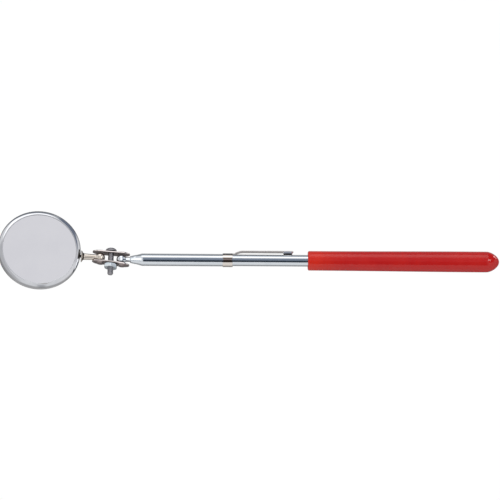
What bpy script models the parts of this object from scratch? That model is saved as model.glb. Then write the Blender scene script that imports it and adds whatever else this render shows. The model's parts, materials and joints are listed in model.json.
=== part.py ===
"""A telescoping inspection mirror, lying on a table with its mirror facing up.

Metres, +Z up. +X runs along the handle from the mirror to the grip. The origin is under the
middle of the object's box. Along the handle, a station is a distance from the centre of the
handle ball, and a turned profile is a list of (radius, station) pairs.
"""

import math

import bmesh
import bpy
from mathutils import Matrix, Vector

MM = 0.001
DEGREE = math.pi / 180

# How the pieces lie at rest
CLAMP_YAW = 5 * DEGREE  # the clamp is turned a little off the handle's line
STUD_PITCH = 9.6 * DEGREE  # the mirror stud points up, away from the handle
STUD_CANT = 5 * DEGREE  # the stud is riveted a little off the case's radius
SCREW_CANT = 4.5 * DEGREE  # the clamp screw leans in its loose holes

# Mirror head
CASE_RADIUS = 29.75 * MM
CASE_DEPTH = 6.0 * MM
CASE_WALL = 0.5 * MM
CASE_CORNER = 1.5 * MM
RIM_CURVE = 7.5 * MM  # the rim slopes from nearly flat at the glass to steep at the edge
RIM_EDGE = 0.6 * MM
RIM_STEEP, RIM_FLAT = 54, 78  # degrees
RIM_INNER_RADIUS = 26.4 * MM
GLASS_RADIUS = 27.9 * MM
GLASS_THICKNESS = 2.8 * MM
GLASS_BACK = 2.1 * MM  # height above the back of the case
PAD_RADIUS = 27.4 * MM
PAD_THICKNESS = 1.0 * MM
PAD_BACK = 0.8 * MM
STUD_DEPTH = 2.9 * MM  # height of the stud's axis above the back of the case

# Ball studs
BALL_RADIUS = 3.55 * MM
STUD_LENGTH = 14.4 * MM  # mirror ball centre to the case wall
ROD_RADIUS_AT_BALL = 2.05 * MM
ROD_RADIUS_AT_FOOT = 2.4 * MM
FOOT_RADIUS = 3.1 * MM
FOOT_WIDENING = 1.45  # the foot is flattened, wider along the case's edge than across it
FOOT_GAP = 0.65 * MM
RIVET_RADIUS = 1.0 * MM
RIVET_HOLE_RADIUS = 1.3 * MM
RIVET_HEAD_RADIUS = 1.5 * MM
RIVET_HEAD_THICKNESS = 0.4 * MM
SHANK_RADIUS = 1.7 * MM

# Clamp
BALL_PITCH = 15.4 * MM
PLATE_HALF_WIDTH = 3.9 * MM
PLATE_END = 5.9 * MM  # from a ball's centre to the end of the plate
PLATE_THICKNESS = 1.1 * MM
PLATE_SQUARENESS = 2.5  # of the ends: 2 is round
CUP_START = 4.7 * MM  # distance from the plate's middle at which its cups begin
CUP_RUN = 2.0 * MM
CUP_INNER_SHARE = 0.93
CUP_RINGS = tuple(radius * MM for radius in (0.8, 1.5, 2.1, 2.7, 3.2, 3.6))
# Each plate: distance from the balls' centre line to its inner face, the angle at which
# it opens towards the handle, its shift along the clamp, and the bulge of its cups at
# their edge and, on top of that, at their middle.
SCREW_SIDE = (3.5 * MM, 0.4 * DEGREE, 0.0, 0.15 * MM, 0.5 * MM)
NUT_SIDE = (2.85 * MM, 2 * DEGREE, 0.5 * MM, 0.25 * MM, 1.15 * MM)
SCREW_SHIFT = 0.1 * MM
SCREW_RADIUS = 2.08 * MM
SCREW_HOLE_RADIUS = 2.45 * MM
SCREW_HEAD_RADIUS = 4.05 * MM
SCREW_HEAD_HEIGHT = 2.8 * MM
SCREW_END = 12.4 * MM
NUT_ACROSS_FLATS = 8.73 * MM
NUT_THICKNESS = 2.8 * MM
NUT_BORE_RADIUS = 2.4 * MM
HEAD_GAP = 0.5 * MM  # screw head to its plate
NUT_GAP = 0.6 * MM  # nut to its plate, clear of the cups as it turns
REST_GAP = 0.3 * MM  # between pieces that touch on the real object

# Tubes, in stations along the handle
NOSE_TIP = 6.3 * MM
NOSE_RADIUS = 2.3 * MM
NOSE_WALL = 0.3 * MM
NOSE_END = 15.4 * MM
FRONT_RADIUS = 4.46 * MM
FRONT_BORE = 4.26 * MM
FRONT_MOUTH = 80.5 * MM
INNER_RADIUS = 4.17 * MM
INNER_WALL = 0.4 * MM
INNER_FRONT = 18.5 * MM
INNER_REAR = 242.0 * MM
GRIP_TUBE_RADIUS = 5.1 * MM
GRIP_TUBE_BORE = 4.7 * MM
GRIP_TUBE_MOUTH = 136.5 * MM
GRIP_TUBE_REAR = 262.0 * MM
MOUTH_BORE = 4.32 * MM
SLEEVE_LENGTH = 8.0 * MM
SLEEVE_SLIT = 1.0 * MM
FRONT_SLEEVE_START = 20.5 * MM
REAR_SLEEVE_START = 232.0 * MM
SEAT_DEPTH = 0.55 * MM  # how far the tube is rolled down under a sleeve

# Clip
RING_START = 73.3 * MM
RING_RADIUS = 4.95 * MM
RING_BORE = 4.58 * MM
TONGUE_WIDTH = 4.0 * MM
TONGUE_THICKNESS = 0.5 * MM
TONGUE_OFFSET = 6.65 * MM  # from the handle's axis to the middle of the tongue
TONGUE_TIP = 124.5 * MM
BUMP_STATION = 120.4 * MM
BUMP_LENGTH = 7.8 * MM
BUMP_WIDTH = 3.2 * MM

# Grip
GRIP_MOUTH = 134.8 * MM
GRIP_END = 273.1 * MM
GRIP_MOUTH_RADIUS = 7.05 * MM
GRIP_RADIUS = 7.5 * MM
GRIP_BORE = 5.2 * MM
GRIP_LIP_BORE = 4.6 * MM
GRIP_BORE_END = 264.0 * MM
GRIP_NOSE = (  # (distance from the end, radius) in millimetres
    (12.0, 7.5),
    (10.0, 7.49),
    (8.4, 7.42),
    (7.0, 7.1),
    (5.6, 6.6),
    (4.3, 5.9),
    (3.1, 5.1),
    (2.0, 4.15),
    (1.1, 3.1),
    (0.45, 2.0),
    (0.1, 0.95),
    (0.0, 0.0),
)

TURNED_SEGMENTS = 40
CASE_SEGMENTS = 64


# Materials and helpers


def material(name, color, metallic, roughness):
    made = bpy.data.materials.new(name)
    made.use_nodes = True
    shader = made.node_tree.nodes["Principled BSDF"]
    shader.inputs["Base Color"].default_value = (*color, 1.0)
    shader.inputs["Metallic"].default_value = metallic
    shader.inputs["Roughness"].default_value = roughness
    return made


def add_object(name, mesh, made_of, parent, matrix=None):
    piece = bpy.data.objects.new(name, mesh)
    bpy.context.scene.collection.objects.link(piece)
    piece.data.materials.append(made_of)
    piece.parent = parent
    if matrix is not None:
        piece.matrix_local = matrix
    return piece


def add_empty(name, parent=None, matrix=None):
    empty = bpy.data.objects.new(name, None)
    bpy.context.scene.collection.objects.link(empty)
    empty.parent = parent
    if matrix is not None:
        empty.matrix_local = matrix
    return empty


def mesh_from(name, bm, sharp=35 * DEGREE):
    bmesh.ops.remove_doubles(bm, verts=bm.verts, dist=1e-7)
    bmesh.ops.recalc_face_normals(bm, faces=bm.faces)
    mesh = bpy.data.meshes.new(name)
    bm.to_mesh(mesh)
    bm.free()
    mesh.shade_smooth()
    mesh.set_sharp_from_angle(angle=sharp)
    return mesh


def turned(name, profile, segments=TURNED_SEGMENTS):
    """A closed (radius, height) outline turned about Z."""
    bm = bmesh.new()
    points = [bm.verts.new((radius, 0.0, height)) for radius, height in profile]
    edges = []
    for here, there in zip(points, points[1:] + points[:1]):
        on_axis = here.co.x == 0 and there.co.x == 0
        if not on_axis:
            edges.append(bm.edges.new((here, there)))
    bmesh.ops.spin(
        bm,
        geom=edges,
        cent=(0, 0, 0),
        axis=(0, 0, 1),
        angle=2 * math.pi,
        steps=segments,
        use_merge=True,
    )
    return mesh_from(name, bm)


def arc(center, radius, start, end, steps):
    """Points on a circle in a profile, from one angle to another in degrees."""
    points = []
    for step in range(steps + 1):
        angle = (start + (end - start) * step / steps) * DEGREE
        points.append(
            (
                center[0] + radius * math.cos(angle),
                center[1] + radius * math.sin(angle),
            )
        )
    return points


def prism(name, outline, low, high):
    """A flat outline of (x, y) points, from z = low to z = high."""
    bm = bmesh.new()
    face = bm.faces.new([bm.verts.new((x, y, low)) for x, y in outline])
    sides = bmesh.ops.extrude_face_region(bm, geom=[face])
    risen = [item for item in sides["geom"] if isinstance(item, bmesh.types.BMVert)]
    bmesh.ops.translate(bm, verts=risen, vec=(0, 0, high - low))
    return mesh_from(name, bm)


def guide(name, mesh, parent, matrix=None):
    """A cutter: it shapes another piece and isn't one itself."""
    piece = bpy.data.objects.new(name, mesh)
    bpy.context.scene.collection.objects.link(piece)
    piece.parent = parent
    if matrix is not None:
        piece.matrix_local = matrix
    piece.hide_render = True
    piece.display_type = "WIRE"
    return piece


def combine(piece, other, operation):
    change = piece.modifiers.new(f"{operation.lower()} {other.name}", "BOOLEAN")
    change.operation = operation
    change.solver = "EXACT"
    change.object = other


ALONG_X = Matrix.Rotation(math.pi / 2, 4, "Y")  # a turned piece's Z becomes the handle's X
ALONG_MINUS_X = Matrix.Rotation(-math.pi / 2, 4, "Y")
ALONG_Y = Matrix.Rotation(-math.pi / 2, 4, "X")


# Mirror head


def case_mesh():
    wall = CASE_RADIUS - CASE_WALL
    steep, flat = RIM_STEEP * DEGREE, RIM_FLAT * DEGREE
    slope = RIM_CURVE * (math.sin(flat) - math.sin(steep))
    edge_center = (CASE_RADIUS - RIM_EDGE, CASE_DEPTH - slope - RIM_EDGE * math.sin(steep))
    rim_center = (
        edge_center[0] - (RIM_CURVE - RIM_EDGE) * math.cos(steep),
        edge_center[1] - (RIM_CURVE - RIM_EDGE) * math.sin(steep),
    )
    profile = [(0.0, 0.0)]
    profile += arc((CASE_RADIUS - CASE_CORNER, CASE_CORNER), CASE_CORNER, -90, 0, 4)
    profile += arc(edge_center, RIM_EDGE, 0, RIM_STEEP, 3)[:-1]
    profile += arc(rim_center, RIM_CURVE, RIM_STEEP, RIM_FLAT, 5)
    profile += [
        (RIM_INNER_RADIUS + 0.05 * MM, CASE_DEPTH - 0.07 * MM),
        (RIM_INNER_RADIUS, CASE_DEPTH - 0.25 * MM),
        (RIM_INNER_RADIUS, CASE_DEPTH - 0.8 * MM),
        (RIM_INNER_RADIUS + 0.2 * MM, CASE_DEPTH - 0.85 * MM),
    ]
    profile += arc(rim_center, RIM_CURVE - CASE_WALL, RIM_FLAT - 2, RIM_STEEP, 3)
    profile += arc((wall - 1.0 * MM, CASE_WALL + 1.0 * MM), 1.0 * MM, 0, -90, 3)
    profile += [(0.0, CASE_WALL)]
    return turned("mirror_case", profile, CASE_SEGMENTS)


def disc_mesh(name, radius, low, high, chamfer):
    profile = [
        (0.0, low),
        (radius - chamfer, low),
        (radius, low + chamfer),
        (radius, high - chamfer),
        (radius - chamfer, high),
        (0.0, high),
    ]
    return turned(name, profile, CASE_SEGMENTS)


def build_mirror_head(mirror_joint):
    seat = add_empty(
        "mirror_case_seat",
        mirror_joint,
        Matrix.Translation((-STUD_LENGTH, 0, 0)) @ Matrix.Rotation(-STUD_CANT, 4, "Z"),
    )
    place = Matrix.Translation((-CASE_RADIUS, 0, -STUD_DEPTH))
    case = add_object(
        "mirror_case",
        case_mesh(),
        material("polished_nickel_case", (0.62, 0.63, 0.66), 1.0, 0.16),
        seat,
        place,
    )
    hole = turned(
        "rivet_hole",
        [(0, 0), (RIVET_HOLE_RADIUS, 0), (RIVET_HOLE_RADIUS, 4 * MM), (0, 4 * MM)],
        24,
    )
    start = Matrix.Translation((-STUD_LENGTH + 1.5 * MM, 0, 0))
    cutter = guide("rivet_hole_cutter", hole, mirror_joint, start @ ALONG_MINUS_X)
    combine(case, cutter, "DIFFERENCE")
    add_object(
        "mirror_backing_pad",
        disc_mesh(
            "mirror_backing_pad", PAD_RADIUS, PAD_BACK, PAD_BACK + PAD_THICKNESS, 0.1 * MM
        ),
        material("grey_pad", (0.28, 0.27, 0.25), 0.0, 0.9),
        seat,
        place,
    )
    add_object(
        "mirror_glass",
        disc_mesh(
            "mirror_glass",
            GLASS_RADIUS,
            GLASS_BACK,
            GLASS_BACK + GLASS_THICKNESS,
            0.3 * MM,
        ),
        material("silvered_glass", (0.83, 0.84, 0.85), 1.0, 0.03),
        seat,
        place,
    )


def build_mirror_stud(mirror_joint):
    """Turned about the stud's axis. Heights run from the ball towards the mirror."""
    foot = STUD_LENGTH - FOOT_GAP
    inside = STUD_LENGTH + CASE_WALL + 0.4 * MM
    neck_angle = math.degrees(math.asin(ROD_RADIUS_AT_BALL / BALL_RADIUS))
    ball = arc((0.0, 0.0), BALL_RADIUS, -90, 90 - neck_angle, 11)
    profile = [(0.0, -BALL_RADIUS)] + ball[1:]
    profile += [
        (ROD_RADIUS_AT_BALL, 3.6 * MM),
        (ROD_RADIUS_AT_FOOT, foot - 2.1 * MM),
        (ROD_RADIUS_AT_FOOT + 0.15 * MM, foot - 1.5 * MM),
        (FOOT_RADIUS - 0.2 * MM, foot - 0.5 * MM),
        (FOOT_RADIUS, foot - 0.2 * MM),
        (FOOT_RADIUS, foot),
        (RIVET_RADIUS, foot),
        (RIVET_RADIUS, inside),
        (RIVET_HEAD_RADIUS, inside),
        (RIVET_HEAD_RADIUS - 0.2 * MM, inside + RIVET_HEAD_THICKNESS),
        (0.0, inside + RIVET_HEAD_THICKNESS),
    ]
    stud = turned("mirror_stud", profile, 32)
    for vert in stud.vertices:
        if foot - 1.6 * MM < vert.co.z < foot + 0.01 * MM:
            share = min(1.0, (vert.co.z - foot + 1.6 * MM) / (1.4 * MM))
            if math.hypot(vert.co.x, vert.co.y) > RIVET_RADIUS + 0.1 * MM:
                vert.co.y *= 1 + (FOOT_WIDENING - 1) * share
    add_object(
        "mirror_stud",
        stud,
        material("warm_nickel_stud", (0.60, 0.56, 0.51), 1.0, 0.18),
        mirror_joint,
        ALONG_MINUS_X,
    )


# Clamp


def plate_faces(x, y, edge_bulge, middle_bulge):
    """Heights of a plate's inner and outer face at a point."""
    away = math.hypot(abs(x) - BALL_PITCH / 2, y)
    rise = min(1.0, max(0.0, (abs(x) - CUP_START) / CUP_RUN))
    rise = rise * rise * (3 - 2 * rise)
    middle = max(0.0, 1 - (away / PLATE_HALF_WIDTH) ** 2)
    bulge = rise * (edge_bulge + middle_bulge * middle)
    return CUP_INNER_SHARE * bulge, PLATE_THICKNESS + bulge


def ring_of_edges(bm, center_x, radius, segments):
    """A circle's points and edges in the XY plane."""
    points = []
    for step in range(segments):
        angle = 2 * math.pi * step / segments
        x = center_x + radius * math.cos(angle)
        points.append(bm.verts.new((x, radius * math.sin(angle), 0.0)))
    edges = [bm.edges.new((here, there)) for here, there in loop_pairs(points)]
    return points, edges


def loop_pairs(points):
    return list(zip(points, points[1:] + points[:1]))


def squared(angle):
    """A point on a unit circle pushed out towards its square's corners."""
    power = 2 / PLATE_SQUARENESS
    x, y = math.cos(angle), math.sin(angle)
    return math.copysign(abs(x) ** power, x), math.copysign(abs(y) ** power, y)


def plate_mesh(name, hole_x, edge_bulge, middle_bulge):
    """A bar with round ends, cupped over both balls. It lies in XY about the clamp's middle."""
    bm = bmesh.new()
    end = [squared(math.pi * k / 12 - math.pi / 2) for k in range(13)]
    outline = [(BALL_PITCH / 2 + PLATE_END * x, PLATE_HALF_WIDTH * y) for x, y in end]
    outline += [(-x, -y) for x, y in outline]
    rim = [bm.verts.new((x, y, 0.0)) for x, y in outline]
    open_edges = [bm.edges.new(pair) for pair in loop_pairs(rim)]
    open_edges += ring_of_edges(bm, hole_x, SCREW_HOLE_RADIUS, 20)[1]
    for side in (-1, 1):
        center = side * BALL_PITCH / 2
        middle = bm.verts.new((center, 0.0, 0.0))
        inside = None
        for radius in CUP_RINGS:
            points, edges = ring_of_edges(bm, center, radius, 24)
            if inside:
                for (a, b), (c, d) in zip(loop_pairs(inside), loop_pairs(points)):
                    bm.faces.new((a, c, d, b))
            else:
                for a, b in loop_pairs(points):
                    bm.faces.new((a, b, middle))
            inside = points
        open_edges += edges
    bmesh.ops.triangle_fill(bm, use_beauty=True, use_dissolve=False, edges=open_edges)
    bmesh.ops.recalc_face_normals(bm, faces=bm.faces)
    inner = list(bm.verts)
    outer = bmesh.ops.extrude_face_region(bm, geom=list(bm.faces), use_keep_orig=True)
    raised = {item for item in outer["geom"] if isinstance(item, bmesh.types.BMVert)}
    for vert in inner + list(raised):
        low, high = plate_faces(vert.co.x, vert.co.y, edge_bulge, middle_bulge)
        vert.co.z = high if vert in raised else low
    return mesh_from(name, bm)


def build_plate(name, side, plate, clamp, made_of):
    """side is +1 for the screw head's side and -1 for the nut's."""
    inner, splay, shift, edge_bulge, middle_bulge = plate
    hole_x = SCREW_SHIFT - shift - side * (inner + PLATE_THICKNESS / 2) * math.tan(SCREW_CANT)
    middle = Matrix.Translation((shift - BALL_PITCH / 2, 0, 0))
    opened = Matrix.Rotation(side * splay, 4, "Z")
    stand_up = Matrix.Rotation(-side * math.pi / 2, 4, "X")
    place = middle @ opened @ stand_up @ Matrix.Translation((0, 0, inner))
    mesh = plate_mesh(name, hole_x, edge_bulge, middle_bulge)
    add_object(name, mesh, made_of, clamp, place)


def build_screw(axis):
    """Turned about the screw's axis. Heights run from the nut's end to the head."""
    seat = SCREW_SIDE[0] + PLATE_THICKNESS + HEAD_GAP
    profile = [
        (0.0, -SCREW_END),
        (SCREW_RADIUS - 0.45 * MM, -SCREW_END),
        (SCREW_RADIUS, -SCREW_END + 0.5 * MM),
        (SCREW_RADIUS, seat),
        (SCREW_HEAD_RADIUS - 0.15 * MM, seat),
        (SCREW_HEAD_RADIUS, seat + 0.3 * MM),
        (SCREW_HEAD_RADIUS - 0.05 * MM, seat + 1.1 * MM),
        (0.91 * SCREW_HEAD_RADIUS, seat + 1.7 * MM),
        (0.72 * SCREW_HEAD_RADIUS, seat + 2.3 * MM),
        (0.46 * SCREW_HEAD_RADIUS, seat + 2.65 * MM),
        (0.0, seat + SCREW_HEAD_HEIGHT),
    ]
    screw = add_object(
        "clamp_screw",
        turned("clamp_screw", profile, 24),
        material("dark_steel_screw", (0.33, 0.33, 0.36), 1.0, 0.32),
        axis,
        ALONG_Y,
    )
    arm, wing = 2.3 * MM, 0.45 * MM
    cross = []
    for quarter in range(4):
        angle = quarter * math.pi / 2
        for along, across in ((wing, -wing), (arm, -0.7 * wing), (arm, 0.7 * wing)):
            cross.append(
                (
                    along * math.cos(angle) - across * math.sin(angle),
                    along * math.sin(angle) + across * math.cos(angle),
                )
            )
    recess = prism(
        "screw_recess", cross, seat + SCREW_HEAD_HEIGHT - 1.5 * MM, seat + 4 * MM
    )
    combine(screw, guide("screw_recess_cutter", recess, axis, ALONG_Y), "DIFFERENCE")


def build_nut(axis):
    """A hexagon with its corners up and down, chamfered by a turned blank."""
    corner = NUT_ACROSS_FLATS / 2 / math.cos(math.pi / 6)
    outline = [
        (corner * math.sin(side * math.pi / 3), corner * math.cos(side * math.pi / 3))
        for side in range(6)
    ]
    near, far = -NUT_THICKNESS / 2, NUT_THICKNESS / 2
    towards_nut = Matrix.Rotation(math.pi / 2, 4, "X")
    nut = add_object(
        "clamp_nut",
        prism("clamp_nut", outline, near, far),
        material("zinc_nut", (0.72, 0.76, 0.80), 1.0, 0.22),
        axis,
        towards_nut,
    )
    blank = [
        (0.0, near - MM),
        (corner - 1.2 * MM, near - MM),
        (corner + 0.35 * MM, near + 0.6 * MM),
        (corner + 0.35 * MM, far - 0.6 * MM),
        (corner - 1.2 * MM, far + MM),
        (0.0, far + MM),
    ]
    chamfer = guide("nut_chamfer", turned("nut_chamfer", blank, 36), axis, towards_nut)
    combine(nut, chamfer, "INTERSECT")
    bore = turned(
        "nut_bore",
        [
            (0, near - MM),
            (NUT_BORE_RADIUS, near - MM),
            (NUT_BORE_RADIUS, far + MM),
            (0, far + MM),
        ],
        24,
    )
    combine(nut, guide("nut_bore_cutter", bore, axis, towards_nut), "DIFFERENCE")


def build_clamp(clamp):
    plate_steel = material("brown_nickel_plate", (0.50, 0.46, 0.45), 1.0, 0.28)
    build_plate("clamp_plate_screw_side", 1, SCREW_SIDE, clamp, plate_steel)
    build_plate("clamp_plate_nut_side", -1, NUT_SIDE, clamp, plate_steel)
    lean = Matrix.Rotation(SCREW_CANT, 4, "Z")
    screw_x = -BALL_PITCH / 2 + SCREW_SHIFT
    place = Matrix.Translation((screw_x, 0, 0)) @ lean
    build_screw(add_empty("clamp_screw_axis", clamp, place))
    nut_y = -(NUT_SIDE[0] + PLATE_THICKNESS + NUT_GAP + NUT_THICKNESS / 2)
    nut_x = screw_x - nut_y * math.tan(SCREW_CANT)
    place = Matrix.Translation((nut_x, nut_y, 0))
    build_nut(add_empty("clamp_nut_axis", clamp, place))


# Handle


def build_handle_ball(handle):
    """The ball, its shank through the nose, and the swelled end that the nose is closed on."""
    neck_angle = math.degrees(math.asin(SHANK_RADIUS / BALL_RADIUS))
    ball = arc((0.0, 0.0), BALL_RADIUS, -90, 90 - neck_angle, 11)
    profile = [(0.0, -BALL_RADIUS)] + ball[1:]
    profile += [
        (SHANK_RADIUS, 9.2 * MM),
        (2.3 * MM, 10.2 * MM),
        (2.6 * MM, 13.2 * MM),
        (2.6 * MM, 15.5 * MM),
        (2.2 * MM, 16.0 * MM),
        (0.0, 16.0 * MM),
    ]
    add_object(
        "handle_ball_stud",
        turned("handle_ball_stud", profile, 32),
        material("bright_chrome_ball", (0.72, 0.76, 0.80), 1.0, 0.08),
        handle,
        ALONG_X,
    )


def build_front_tube(handle, chrome):
    nose = [
        (NOSE_RADIUS, NOSE_TIP),
        (3.05 * MM, 8.8 * MM),
        (3.35 * MM, 11.0 * MM),
        (3.87 * MM, 13.2 * MM),
        (4.35 * MM, 14.8 * MM),
        (FRONT_RADIUS, NOSE_END),
    ]
    wall = FRONT_RADIUS - FRONT_BORE
    bore = [(radius - max(wall, NOSE_WALL), station) for radius, station in nose[:-1]]
    profile = nose + [
        (FRONT_RADIUS, FRONT_MOUTH),
        (INNER_RADIUS + 0.03 * MM, FRONT_MOUTH),
        (INNER_RADIUS + 0.03 * MM, FRONT_MOUTH - 0.4 * MM),
        (FRONT_BORE, FRONT_MOUTH - 1.0 * MM),
        (FRONT_BORE, NOSE_END + 0.3 * MM),
    ]
    profile += reversed(bore)
    add_object("front_tube", turned("front_tube", profile), chrome, handle, ALONG_X)


def seat_profile(start, end, radius):
    """The groove rolled into a tube for a sleeve, as outer points."""
    low = radius - SEAT_DEPTH
    slope = 0.3 * MM
    return [(radius, start - slope), (low, start), (low, end), (radius, end + slope)]


def build_inner_tube(handle, chrome):
    gap = 0.25 * MM
    front_seat = (FRONT_SLEEVE_START - gap, FRONT_SLEEVE_START + SLEEVE_LENGTH + gap)
    rear_seat = (REAR_SLEEVE_START - gap, REAR_SLEEVE_START + SLEEVE_LENGTH + gap)
    bore = INNER_RADIUS - INNER_WALL - SEAT_DEPTH
    full_bore = INNER_RADIUS - INNER_WALL
    lip = 0.2 * MM
    profile = [(INNER_RADIUS - lip, INNER_FRONT), (INNER_RADIUS, INNER_FRONT + lip)]
    profile += seat_profile(*front_seat, INNER_RADIUS)
    profile += seat_profile(*rear_seat, INNER_RADIUS)
    profile += [(INNER_RADIUS, INNER_REAR - lip), (INNER_RADIUS - lip, INNER_REAR)]
    profile += [(bore, INNER_REAR), (bore, rear_seat[0] - MM)]
    profile += [(full_bore, rear_seat[0] - 2 * MM), (full_bore, front_seat[1] + 2 * MM)]
    profile += [(bore, front_seat[1] + MM), (bore, INNER_FRONT)]
    add_object("inner_tube", turned("inner_tube", profile), chrome, handle, ALONG_X)


def build_sleeve(name, start, outer, handle, made_of):
    """A split sleeve: a ring section swept most of the way round, leaving the slit."""
    inner = INNER_RADIUS - SEAT_DEPTH + 0.1 * MM
    chamfer = 0.12 * MM
    end = start + SLEEVE_LENGTH
    profile = [
        (inner, start),
        (outer - chamfer, start),
        (outer, start + 2 * chamfer),
        (outer, end - 2 * chamfer),
        (outer - chamfer, end),
        (inner, end),
    ]
    slit = SLEEVE_SLIT / outer
    bm = bmesh.new()
    points = [
        bm.verts.new((r * math.cos(slit / 2), r * math.sin(slit / 2), z)) for r, z in profile
    ]
    first = bm.faces.new(points)
    bmesh.ops.spin(
        bm,
        geom=[first],
        cent=(0, 0, 0),
        axis=(0, 0, 1),
        angle=2 * math.pi - slit,
        steps=TURNED_SEGMENTS - 2,
    )
    add_object(name, mesh_from(name, bm), made_of, handle, ALONG_X)


def tongue_outline():
    """The tongue's edge in the plane of the handle's axis: (station, distance) pairs."""
    middle = [
        (RING_START + 3.0 * MM, RING_RADIUS - 0.24 * MM),
        (FRONT_MOUTH + 1.2 * MM, RING_RADIUS - 0.2 * MM),
        (FRONT_MOUTH + 2.8 * MM, RING_RADIUS + 0.2 * MM),
        (FRONT_MOUTH + 5.4 * MM, TONGUE_OFFSET - 0.4 * MM),
        (FRONT_MOUTH + 7.4 * MM, TONGUE_OFFSET),
        (TONGUE_TIP - 4.0 * MM, TONGUE_OFFSET),
        (TONGUE_TIP, TONGUE_OFFSET + 0.1 * MM),
    ]
    above, below = [], []
    for index, (x, y) in enumerate(middle):
        before = Vector(middle[max(index - 1, 0)])
        after = Vector(middle[min(index + 1, len(middle) - 1)])
        along = (after - before).normalized()
        across = Vector((-along.y, along.x)) * TONGUE_THICKNESS / 2
        above.append((x + across.x, y + across.y))
        below.append((x - across.x, y - across.y))
    return below + above[::-1]


def build_clip(handle):
    ring = [
        (RING_BORE, RING_START),
        (RING_RADIUS - 0.1 * MM, RING_START),
        (RING_RADIUS, RING_START + 0.2 * MM),
        (RING_RADIUS, FRONT_MOUTH - 0.2 * MM),
        (RING_RADIUS - 0.1 * MM, FRONT_MOUTH),
        (RING_BORE, FRONT_MOUTH),
    ]
    clip = add_object(
        "pocket_clip",
        turned("pocket_clip", ring),
        material("warm_nickel_clip", (0.62, 0.57, 0.51), 1.0, 0.2),
        handle,
        ALONG_X,
    )
    tongue = prism("tongue", tongue_outline(), -TONGUE_WIDTH / 2, TONGUE_WIDTH / 2)
    combine(clip, guide("clip_tongue", tongue, handle), "UNION")
    depth = TONGUE_OFFSET - INNER_RADIUS - 0.35 * MM
    half = BUMP_LENGTH / 2
    bump = prism(
        "bump",
        [
            (-half, 0.0),
            (-0.78 * half, -0.92 * depth),
            (-0.6 * half, -depth),
            (0.6 * half, -depth),
            (0.78 * half, -0.92 * depth),
            (half, 0.0),
        ],
        -BUMP_WIDTH / 2,
        BUMP_WIDTH / 2,
    )
    at = Matrix.Translation((BUMP_STATION, TONGUE_OFFSET, 0))
    combine(clip, guide("clip_bump", bump, handle, at), "UNION")


def build_grip_tube(handle):
    steel = material("plain_steel_tube", (0.55, 0.56, 0.58), 1.0, 0.35)
    mouth_end = GRIP_TUBE_MOUTH + 1.0 * MM
    profile = [
        (MOUTH_BORE, GRIP_TUBE_MOUTH),
        (GRIP_TUBE_RADIUS - 0.3 * MM, GRIP_TUBE_MOUTH),
        (GRIP_TUBE_RADIUS, GRIP_TUBE_MOUTH + 0.4 * MM),
        (GRIP_TUBE_RADIUS, GRIP_TUBE_REAR),
        (GRIP_TUBE_BORE, GRIP_TUBE_REAR),
        (GRIP_TUBE_BORE, mouth_end),
        (MOUTH_BORE, mouth_end - 0.5 * MM),
    ]
    add_object("grip_tube", turned("grip_tube", profile), steel, handle, ALONG_X)
    plug_start = GRIP_TUBE_REAR - 6 * MM
    plug = [
        (0.0, plug_start),
        (GRIP_TUBE_BORE - 0.5 * MM, plug_start),
        (GRIP_TUBE_BORE - 0.15 * MM, plug_start + 0.5 * MM),
        (GRIP_TUBE_BORE - 0.15 * MM, GRIP_TUBE_REAR + 0.3 * MM),
        (GRIP_TUBE_RADIUS, GRIP_TUBE_REAR + 0.3 * MM),
        (GRIP_TUBE_RADIUS, GRIP_TUBE_REAR + 1.2 * MM),
        (0.0, GRIP_TUBE_REAR + 1.2 * MM),
    ]
    add_object(
        "grip_tube_plug",
        turned("grip_tube_plug", plug, 24),
        material("black_plug", (0.05, 0.05, 0.05), 0.0, 0.6),
        handle,
        ALONG_X,
    )


def build_grip(handle):
    round_over = 1.2 * MM
    outer = arc(
        (GRIP_MOUTH_RADIUS - round_over, GRIP_MOUTH + round_over), round_over, -90, 0, 4
    )
    outer += [(GRIP_RADIUS - 0.05 * MM, GRIP_END - 45 * MM)]
    outer += [(radius * MM, GRIP_END - back * MM) for back, radius in GRIP_NOSE]
    inner = [
        (0.0, GRIP_BORE_END),
        (GRIP_BORE, GRIP_BORE_END),
        (GRIP_BORE, GRIP_TUBE_MOUTH - REST_GAP),
        (GRIP_LIP_BORE, GRIP_TUBE_MOUTH - REST_GAP),
        (GRIP_LIP_BORE, GRIP_MOUTH),
    ]
    add_object(
        "grip",
        turned("grip", outer + inner),
        material("red_vinyl", (0.56, 0.02, 0.018), 0.0, 0.3),
        handle,
        ALONG_X,
    )


# Assembly


def clear_scene():
    for old in list(bpy.context.scene.objects):
        bpy.data.objects.remove(old, do_unlink=True)


def stand_on_origin(root):
    """Move the whole object so that the origin is under the middle of its box."""
    bpy.context.view_layer.update()
    state = bpy.context.evaluated_depsgraph_get()
    corners = []
    for piece in bpy.context.scene.objects:
        if piece.type == "MESH" and not piece.hide_render:
            solid = piece.evaluated_get(state)
            corners += [solid.matrix_world @ v.co for v in solid.data.vertices]
    low = [min(corner[axis] for corner in corners) for axis in range(3)]
    high = [max(corner[axis] for corner in corners) for axis in range(3)]
    root.location = (-(low[0] + high[0]) / 2, -(low[1] + high[1]) / 2, -low[2])


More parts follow.
